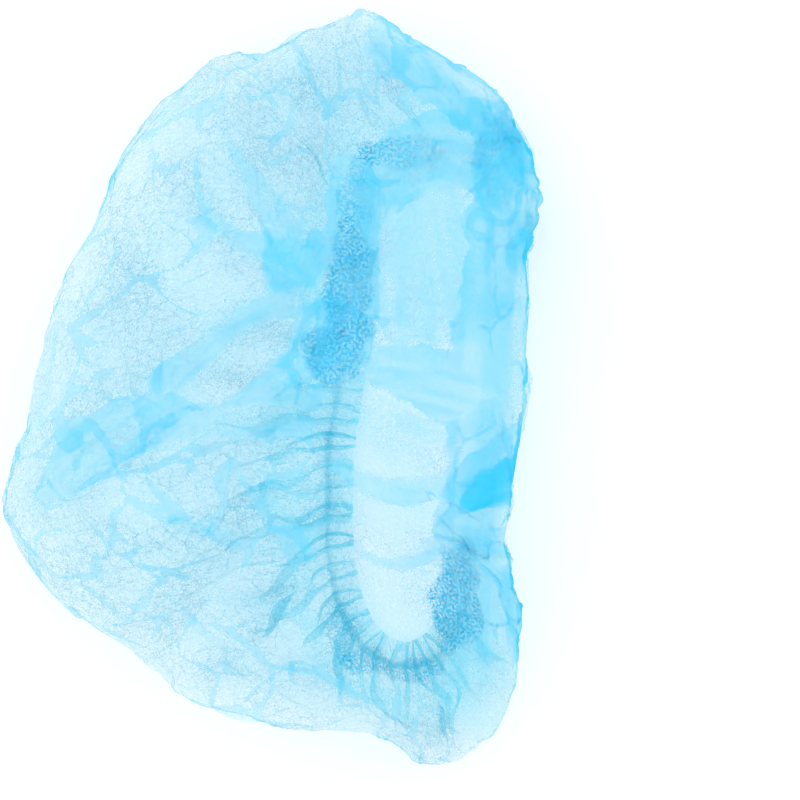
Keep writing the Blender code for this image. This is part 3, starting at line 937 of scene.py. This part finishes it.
def patched(points):
    """How thick and how crinkled the crushed parts make the cloth at each place."""
    pile = np.zeros(points.shape[:2])
    crinkle = np.zeros(points.shape[:2])
    ragged = noise((points[..., 0], points[..., 1]), *RAGGED_PATCH)
    share_x, share_y = shares_of_size(points)
    for patch in PATCHES:
        away = np.hypot((share_x - patch.x) / patch.reach_x, (share_y - patch.y) / patch.reach_y)
        inside = falling(away - ragged, PATCH_EDGE)
        pile += patch.pile * inside
        crinkle += patch.crinkle * inside
    return pile, crinkle


def creased(sheet, crinkled):
    """How far inside one of the narrow branching folds each place of the sheet is."""
    x, y = pushed_about(sheet.flat, CREASE_STRAY)
    away = crease_distance(x / CREASE_CELL, y / CREASE_CELL, CREASE_SEED) * CREASE_CELL
    breadth = CREASE_BREADTH * (BREADTH_SHARE + noise(sheet.flat, *BREADTH_VARIES))
    breadth *= rising(np.abs(sheet.from_elastic), CREASES_START)
    return breadth - away + SMOOTHED_CREASE * np.minimum(crinkled, 0.0)


def grid_faces(cells):
    across = cells + 1
    first = (np.arange(cells)[:, None] * across + np.arange(cells)).ravel()
    return np.stack([first, first + across, first + across + 1, first + 1], -1)


def laid_out(lattice):
    """The points of the flat sheet, placed where the gathered sheet has them, and what is known of each."""
    placed, ribs, normals = gathered(lattice)
    reach, angle = flat_grid()
    # The way round starts at the head, a quarter turn from the x axis, and goes clockwise
    turns = 0.25 - angle / (2 * math.pi)
    levels = 1.0 - reach
    closed_round = np.append(lattice.radius, lattice.radius[0])
    radius = np.interp((turns % 1.0) * TURN_STEPS, np.arange(TURN_STEPS + 1), closed_round)
    sheet = Sheet(
        flat=(reach * radius * np.cos(angle), reach * radius * np.sin(angle)),
        from_elastic=sample(lattice.from_elastic, turns, levels),
        past_widest=sample(lattice.past_widest, turns, levels),
        rib=sample(ribs, turns, levels),
        normal=unit(sample(normals, turns, levels)),
    )
    return sample(placed, turns, levels), sheet


def crumpled(points, sheet):
    """The points with the facets of crumpled cloth, which fade out at the elastic."""
    x, y = pushed_about(sheet.flat, FACET_PUSH)
    free = rising(np.abs(sheet.from_elastic), CRUMPLES_START)
    for k, crumple in enumerate(CRUMPLES):
        height = facet_noise(x / crumple.size, y / crumple.size, FACET_SEED + k)
        points = points + sheet.normal * (height * crumple.height * free)[..., None]
    return points


def drawn_in(points, sheet):
    """The points with the outline drawn in under its crumples, and with its right side scalloped."""
    share_x, share_y = shares_of_size(points)
    at_notch = close_to(share_y - NOTCH_Y, NOTCH_REACH) * (share_x > NOTCH_SIDE)
    inwards = OUTLINE_SLACK * (1.0 - NOTCH_SLACK * at_notch) * close_to(sheet.past_widest, SLACK_REACH)
    lobes = np.abs(np.sin(math.pi * points[..., 1] / SCALLOP_SPACING))**SCALLOP_ROUNDNESS
    scalloped = falling(np.abs(share_y - SCALLOPS_Y), SCALLOPS_END) * rising(share_x, SCALLOPS_SIDE)
    inwards += SCALLOP_DEPTH * scalloped * (0.5 - lobes) * close_to(sheet.past_widest, SCALLOP_REACH)
    return points - sheet.normal * inwards[..., None]


def sharp_bends(points):
    """How far each point of the sheet stands out from the middle of its four neighbours."""
    bend = np.zeros(points.shape[:2])
    around = (points[2:, 1:-1] + points[:-2, 1:-1] + points[1:-1, 2:] + points[1:-1, :-2]) / 4
    bend[1:-1, 1:-1] = np.linalg.norm(around - points[1:-1, 1:-1], axis=-1)
    return bend


def thickness(points, sheet, crushed, crinkled):
    """How many times thicker than the plain cloth it looks at each point, and how crinkled."""
    share_x, share_y = shares_of_size(points)
    in_sight = falling(share_y, HIDDEN_ALONG) * falling(share_x, HIDDEN_ACROSS)
    in_sight = HIDDEN_SHARE + (1.0 - HIDDEN_SHARE) * in_sight
    sewn = close_to(sheet.from_elastic, SEWN_REACH)
    ladder = falling(np.abs(sheet.from_elastic), LADDER_ENDS) * in_sight
    pile = 1.0 + (SEWN_PILE * sewn + RIB_PILE * sheet.rib) * in_sight + LADDER_PILE * sheet.rib * ladder
    pile += np.where(sheet.past_widest > CROWN_EDGE, CRUSHED_ABOVE, CRUSHED_BELOW) * crushed
    pile += BEND_PILE * np.clip(sharp_bends(points) - BEND_FROM, 0.0, BEND_MOST)
    pile *= 1.0 + noise(sheet.flat, *CLOUDS)
    pile *= 1.0 - LADDER_GAPS * ladder * (1.0 - sheet.rib) * (1.0 - sewn)
    patches = smooth_step(0.5 + noise(sheet.flat, *CRINKLED_PATCHES))
    crinkle = np.clip(LEAST_CRINKLE + PATCH_CRINKLE * patches + crinkled, *CRINKLE_LIMITS)
    return pile, crinkle + SEWN_CRINKLE * sewn * in_sight


def build_cloth(material):
    """The sheet: gathered, crumpled, creased, pleated, kept above the table, with what its material needs."""
    points, sheet = laid_out(Lattice())
    points = drawn_in(crumpled(points, sheet), sheet)
    on_crown = sheet.past_widest > CROWN_EDGE
    crushed, crinkled = patched(points)
    crinkled = np.where(on_crown, crinkled, np.minimum(crinkled, UNDERSIDE_CRINKLE))
    crease = creased(sheet, crinkled)
    outward = np.where(on_crown, CREASE_HEIGHT, -CREASE_HEIGHT) * rising(crease, CREASE_SIDE)
    points = points + sheet.normal * outward[..., None]
    points[..., 2] += np.maximum(crinkled, 0.0) * noise(sheet.flat, ROUGHNESS)
    inside, folds = pleated(points, sheet.past_widest > 0.0)
    raised = rising(inside, PLEAT_SIDE) * np.minimum(folds, 1.0)
    points[..., 2] += PLEAT_HEIGHT * raised.sum(-1)
    points[..., 2] = np.maximum(points[..., 2], LOWEST_CLOTH + noise(sheet.flat, LIFTS))
    pile, crinkle = thickness(points, sheet, crushed, crinkled)
    # Painted light: the gathers by the elastic are made brighter, which lifts their shade
    gather_light = GATHER_LIGHT * falling(np.abs(sheet.from_elastic), GATHER_LIGHT_ENDS)

    faces = grid_faces(SHEET_CELLS)
    cloth = new_piece("cap_cloth", points, faces, material)
    layout = cloth.data.uv_layers.new(name="flat sheet")
    flat = np.stack(sheet.flat, -1).reshape(-1, 2)
    layout.uv.foreach_set("vector", flat[faces.ravel()].astype(np.float32).ravel())
    for name, kind, field, values in (
        ("pile", "FLOAT", "value", pile),
        ("crinkle", "FLOAT", "value", crinkle),
        ("crease", "FLOAT", "value", crease),
        ("gather_light", "FLOAT", "value", gather_light),
        ("pleat inside", "FLOAT_VECTOR", "vector", inside),
        ("pleat folds", "FLOAT_VECTOR", "vector", folds),
    ):
        attribute = cloth.data.attributes.new(name, kind, "POINT")
        attribute.data.foreach_set(field, values.ravel().astype(np.float32))
    return cloth


def new_piece(name, points, faces, material):
    """A smooth piece of the scene with this mesh and material."""
    mesh = bpy.data.meshes.new(name)
    mesh.from_pydata(points.reshape(-1, 3), [], faces.tolist())
    mesh.shade_smooth()
    mesh.materials.append(material)
    piece = bpy.data.objects.new(name, mesh)
    bpy.context.scene.collection.objects.link(piece)
    return piece


def add_node(tree, kind, inputs=(), output=0, **settings):
    """Add a node, set or link its inputs, given in order or in a dictionary, and give one of its outputs."""
    node = tree.nodes.new("ShaderNode" + kind)
    node.location = (NODE_SPACING * len(tree.nodes), 0)
    for name, value in settings.items():
        setattr(node, name, value)
    for name, value in inputs.items() if isinstance(inputs, dict) else enumerate(inputs):
        if isinstance(value, bpy.types.NodeSocket):
            tree.links.new(value, node.inputs[name])
        else:
            node.inputs[name].default_value = value
    return node.outputs[output] if node.outputs else None


def new_material(name):
    """A material without nodes, and the function that adds a node to it."""
    material = bpy.data.materials.new(name)
    material.use_nodes = True
    material.node_tree.nodes.clear()
    return material, functools.partial(add_node, material.node_tree)


def cloth_material():
    """Spunbond polypropylene: matt, thin, see-through light blue.

    Light falls through it, so each layer over another makes it deeper blue. Its fibres lie in clouds, a
    network of fine crinkles with painted shade runs over it, and where it is crushed it is full of small
    specks, darkened by more cloth and by painted shade.
    """
    material, add = new_material("spunbond_polypropylene")
    flat = add("UVMap", uv_map="flat sheet")
    pile, crisp, crease, gathers = (
        add("Attribute", output="Fac", attribute_name=name)
        for name in ("pile", "crinkle", "crease", "gather_light")
    )
    edges, folds = (
        add("SeparateXYZ", [add("Attribute", output="Vector", attribute_name=name)]).node.outputs
        for name in ("pleat inside", "pleat folds")
    )
    grain, slow, dots = (
        add("TexNoise", {"Vector": flat, "Scale": 1.0 / size, "Detail": detail, "Roughness": roughness},
            "Fac", noise_dimensions="2D")
        for size, detail, roughness in (FIBRE_CLUMPS, SLOW_CHANGES, SPECKLES)
    )

    # Crinkles: the edges of cells whose places the fibre pushes about, and short worms between them
    drift = add("VectorMath", {0: grain.node.outputs["Color"], 3: CRINKLE_DRIFT}, operation="SCALE")
    pushed = add("VectorMath", [flat, drift], operation="ADD")
    cells = {"Vector": pushed, "Scale": 1.0 / CRINKLE_SIZE}
    away = add("TexVoronoi", cells, "Distance", feature="DISTANCE_TO_EDGE", voronoi_dimensions="2D")
    line_ramp = [away, 0.0, CRINKLE_WIDTH / CRINKLE_SIZE, 1.0, 0.0]
    line = add("MapRange", line_ramp, interpolation_type="SMOOTHSTEP")
    from_middle = add("Math", [add("Math", [grain, 0.5], operation="SUBTRACT")], operation="ABSOLUTE")
    worm = add("MapRange", [from_middle, 0.0, WORM_WIDTH, 1.0, 0.0], interpolation_type="SMOOTHSTEP")
    worms = add("Math", [worm, WORM_LAYERS], operation="MULTIPLY")
    lines = add("Math", [line, CRINKLE_LAYERS, worms], operation="MULTIPLY_ADD")
    lines = add("Math", [lines, crisp], operation="MULTIPLY")

    # Pleats and creases: crisp in some places and soft in others, and smooth inside
    roughened = add("MapRange", [grain, 0.0, 1.0, -ROUGH_EDGE, ROUGH_EDGE])
    softness = add("MapRange", [slow, *SLOW_RANGE, CRISP_EDGE, SOFT_EDGE])
    edge = add("Math", [crease, roughened], operation="ADD")
    pleats = add("MapRange", [edge, *CREASE_RANGE, 0.0, CREASE_FOLDS], interpolation_type="SMOOTHSTEP")
    for k in range(PLEAT_LAYERS_APART):
        edge = add("Math", [edges[k], roughened], operation="ADD")
        edge = add("Math", [edge, softness], operation="DIVIDE")
        within = add("MapRange", [edge, -1.0, 1.0, 0.0, 1.0], interpolation_type="SMOOTHSTEP")
        pleats = add("Math", [within, folds[k], pleats], operation="MULTIPLY_ADD")
    smoothed = add("MapRange", [pleats, 0.0, 1.0, 1.0, PLEAT_CRINKLE])
    lines = add("Math", [lines, smoothed], operation="MULTIPLY")

    # Crushed cloth: specks, and a little more cloth between them
    crushed = add("MapRange", [crisp, *CRUSHED_RANGE, 0.0, 1.0])
    speckle = add("MapRange", [dots, *SPECKLE_RANGE, 0.0, 1.0], interpolation_type="SMOOTHSTEP")
    speckle = add("Math", [speckle, crushed], operation="MULTIPLY")
    lines = add("Math", [crushed, SPECKLE_BETWEEN, lines], operation="MULTIPLY_ADD")
    lines = add("Math", [speckle, SPECKLE_LAYERS, lines], operation="MULTIPLY_ADD")

    # How many thicknesses lie here, and how much they cover together
    cloud = add("MapRange", [grain, *FIBRE_RANGE, *FIBRE_LAYERS])
    density = add("Math", [pile, cloud, lines], operation="MULTIPLY_ADD")
    density = add("Math", [pleats, PLEAT_LAYERS, density], operation="MULTIPLY_ADD")
    clear = add("Math", [1.0 - THIN_COVER, density], operation="POWER")
    cover = add("Math", [1.0, clear], operation="SUBTRACT", use_clamp=True)

    # Deeper blue where it is dense, painted light in the gathers, and painted shade in the crinkles and in
    # the specks
    dense = add("MapRange", [density, *DENSE_RANGE, 0.0, 1.0])
    unshaded = add("Math", [gathers, crushed], operation="MAXIMUM")
    # Painted shade in the crinkles, only where the cloth is thin and neither gathered nor crushed
    shaded = add("MapRange", [lines, *CRINKLE_RANGE, 0.0, 1.0])
    for share in (
        add("MapRange", [density, *THIN_RANGE, CRINKLE_SHADE, 0.0]),
        add("Math", [1.0, unshaded], operation="SUBTRACT"),
    ):
        shaded = add("Math", [shaded, share], operation="MULTIPLY")
    # Painted shade in the specks
    shadow = add("Math", [speckle, SPECKLE_SHADE], operation="MULTIPLY")
    colour = linear("thin cloth")
    for share, name in (
        (dense, "dense cloth"),
        (gathers, "gathers painted light"),
        (shaded, "crinkle"),
        (shadow, "shadowed cloth"),
    ):
        colour = add("Mix", {0: share, 6: colour, 7: linear(name)}, 2, data_type="RGBA")

    raised = add("Math", [cloud, FIBRE_BUMP], operation="MULTIPLY")
    height = add("Math", [lines, CRINKLE_BUMP, raised], operation="MULTIPLY_ADD")
    bump = add("Bump", {"Height": height, "Distance": BUMP_HEIGHT, "Strength": BUMP_STRENGTH})
    front = add("BsdfPrincipled", {
        "Base Color": colour,
        "Roughness": CLOTH_ROUGHNESS,
        "Specular IOR Level": CLOTH_SHINE,
        "Sheen Weight": CLOTH_SHEEN,
        "Normal": bump,
    })
    through = add("BsdfTranslucent", {"Color": colour, "Normal": bump})
    fibre = add("MixShader", [CLOTH_TRANSLUCENCY, front, through])
    add("OutputMaterial", [add("MixShader", [cover, add("BsdfTransparent"), fibre])])
    return material


def yarn_material(name, colour_name, pitch, roughness):
    """Wound polyester yarn: pale and soft-shining, with painted shade in the hollows between its fine
    windings.

    Light falls through it and round it, so that it is lost in the bright cloth about it.
    """
    material, add = new_material(name)
    place = add("TexCoord", output="Object")
    winding = add("TexNoise", {"Vector": place, "Scale": 1.0 / pitch, "Detail": WINDING_DETAIL}, "Fac")
    shade = add("MapRange", [winding, *WINDING_RANGE, 0.0, 1.0])
    base = linear(colour_name)
    # Painted shade in the hollows between the windings
    painted_hollow_shade = [channel * HOLLOW_SHADE for channel in base[:3]] + [1.0]
    colour = add("Mix", {0: shade, 6: painted_hollow_shade, 7: base}, 2, data_type="RGBA")
    bump = add("Bump", {"Height": winding, "Distance": WINDING_HEIGHT, "Strength": WINDING_BUMP})
    front = add("BsdfPrincipled", {"Base Color": colour, "Roughness": roughness, "Normal": bump})
    through = add("BsdfTranslucent", {"Color": colour, "Normal": bump})
    yarn = add("MixShader", [YARN_TRANSLUCENCY, front, through])
    add("OutputMaterial", [add("MixShader", [YARN_OPENNESS, yarn, add("BsdfTransparent")])])
    return material


def swept_tube(name, centres, radius, sides, material):
    """A closed round tube along these centres."""
    count = len(centres)
    forward = unit(np.roll(centres, -1, 0) - np.roll(centres, 1, 0))
    side = unit(np.cross(forward, (0.0, 0.0, 1.0)))
    top = unit(np.cross(side, forward))
    angles = 2 * math.pi * np.arange(sides) / sides
    radii = np.broadcast_to(radius, (count,))[:, None, None]
    ways = np.cos(angles)[None, :, None] * side[:, None] + np.sin(angles)[None, :, None] * top[:, None]
    k = np.arange(count)[:, None]
    j = np.arange(sides)[None]
    after = (k + 1) % count
    turn = (j + 1) % sides
    faces = np.stack([k * sides + j, k * sides + turn, after * sides + turn, after * sides + j], -1)
    return new_piece(name, centres[:, None] + radii * ways, faces.reshape(-1, 4), material)


def build_elastic(material):
    """The covered elastic, slightly beaded where the stitches hold it."""
    count = RIB_COUNT * POINTS_EACH
    turns = np.arange(count) / count
    line, lift = elastic_line(turns)
    line[:, 2] = ELASTIC_DIAMETER / 2 + lift
    held = np.cos(2 * math.pi * turns * RIB_COUNT * STITCHES_PER_RIB)**2
    return swept_tube("elastic", line, ELASTIC_DIAMETER / 2 * (1.0 - BEADING * held), ELASTIC_SIDES, material)


def build_stitches(material):
    """Loops of thread over the elastic and through the cloth on both sides of it."""
    loops = RIB_COUNT * STITCHES_PER_RIB
    count = loops * POINTS_EACH
    turns = np.arange(count) / count
    line, lift = elastic_line(turns)
    forward = unit(np.roll(line, -1, 0) - np.roll(line, 1, 0))
    side = np.stack([forward[:, 1], -forward[:, 0], np.zeros(count)], -1)
    angle = 2 * math.pi * turns * loops
    reach = ELASTIC_DIAMETER / 2 + STITCH_GAP
    centres = line + side * (np.cos(angle) * reach * STITCH_BREADTH)[:, None]
    centres[:, 2] = ELASTIC_DIAMETER / 2 + lift + np.sin(angle) * (reach + STITCH_RISE)
    centres[:, 2] = np.maximum(centres[:, 2], LOWEST_THREAD)
    return swept_tube("overlock_stitches", centres, THREAD_RADIUS, THREAD_SIDES, material)


def build_floor():
    """Matt white backdrop paper: even, without any shine, and so bright that it has no edge."""
    material, add = new_material("backdrop_paper")
    paper = add("BsdfPrincipled", {"Base Color": linear("floor"), "Roughness": FLOOR_ROUGHNESS})
    add("OutputMaterial", [paper])
    bpy.ops.mesh.primitive_plane_add(size=FLOOR_SIZE, location=(0.0, 0.0, 0.0))
    floor = bpy.context.object
    floor.name = "floor"
    floor.data.materials.append(material)


def build_light():
    """A white tent all round, a little brighter over the head end."""
    world = bpy.data.worlds.new("white_tent")
    world.use_nodes = True
    # The tent is almost even, so looking for its bright parts would only cost time
    world.cycles.sampling_method = "NONE"
    tree = world.node_tree
    direction = add_node(tree, "TexCoord", output="Generated")
    brightest = Vector(LIGHT_FROM).normalized()
    towards = add_node(tree, "VectorMath", [direction, brightest], "Value", operation="DOT_PRODUCT")
    strength = add_node(tree, "MapRange", [towards, LIGHT_FADE, 1.0, DIM_SIDE, BRIGHT_SIDE])
    background = tree.nodes["Background"]
    background.inputs["Color"].default_value = linear("light")
    tree.links.new(strength, background.inputs["Strength"])
    bpy.context.scene.world = world


def build_camera():
    """Looks straight down, as the photographer did."""
    data = bpy.data.cameras.new("camera")
    data.sensor_width = SENSOR_WIDTH
    data.lens = SENSOR_WIDTH * CAMERA_HEIGHT / VIEW_WIDTH
    camera = bpy.data.objects.new("camera", data)
    camera.location = (VIEW_MIDDLE_X, VIEW_MIDDLE_Y, CAMERA_HEIGHT)
    bpy.context.scene.collection.objects.link(camera)
    bpy.context.scene.camera = camera


def build():
    scene = bpy.context.scene
    scene.view_settings.view_transform = "Standard"
    scene.cycles.transparent_max_bounces = CLEAR_BOUNCES
    scene.cycles.max_bounces = BOUNCES
    scene.cycles.diffuse_bounces = BOUNCES
    scene.cycles.transmission_bounces = BOUNCES
    build_camera()
    cloth = build_cloth(cloth_material())
    elastic = build_elastic(yarn_material("covered_elastic", "elastic cover", COVER_PITCH, COVER_ROUGHNESS))
    thread = yarn_material("polyester_thread", "sewing thread", THREAD_PITCH, THREAD_ROUGHNESS)
    stitches = build_stitches(thread)
    for piece in (cloth, elastic, stitches):
        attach(piece, "root")
    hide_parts("crown")
    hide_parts("elastic_cord")
    build_floor()
    build_light()


build()
